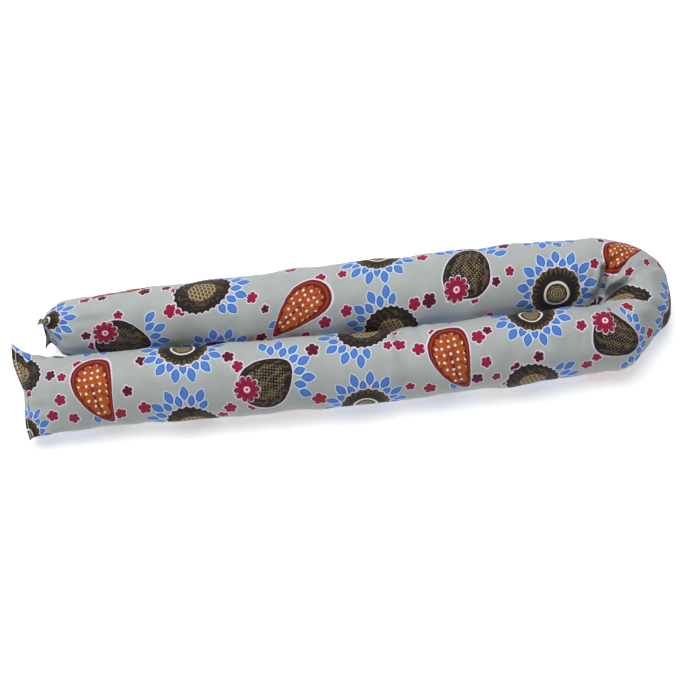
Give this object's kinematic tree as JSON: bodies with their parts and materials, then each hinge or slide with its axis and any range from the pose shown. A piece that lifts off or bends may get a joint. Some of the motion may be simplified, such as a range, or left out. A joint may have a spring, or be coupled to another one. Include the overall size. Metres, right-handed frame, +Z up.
{
  "type": "draught excluder",
  "caption": "Stuffed printed cotton tube, sewn flat at its ends and folded in half so its legs lie side by side; laid along the foot of a door or window to keep out a draught",
  "frame": {"origin": "On the surface the tube lies on, below the middle of its bounding box", "axes": "+X runs along the legs from the sewn ends to the bend, -Y is the side of the leg with the flat-lying seam, +Y the side of the other leg, +Z is up"},
  "size_m": [0.7398, 0.1694, 0.079],
  "materials": {
    "printed_cotton": "matt printed plain-weave cotton, grey ground with blue, brown, orange and crimson motifs"
  },
  "bodies": {
    "root": {"stuffed_tube": "printed_cotton"}
  },
  "joints": []
}
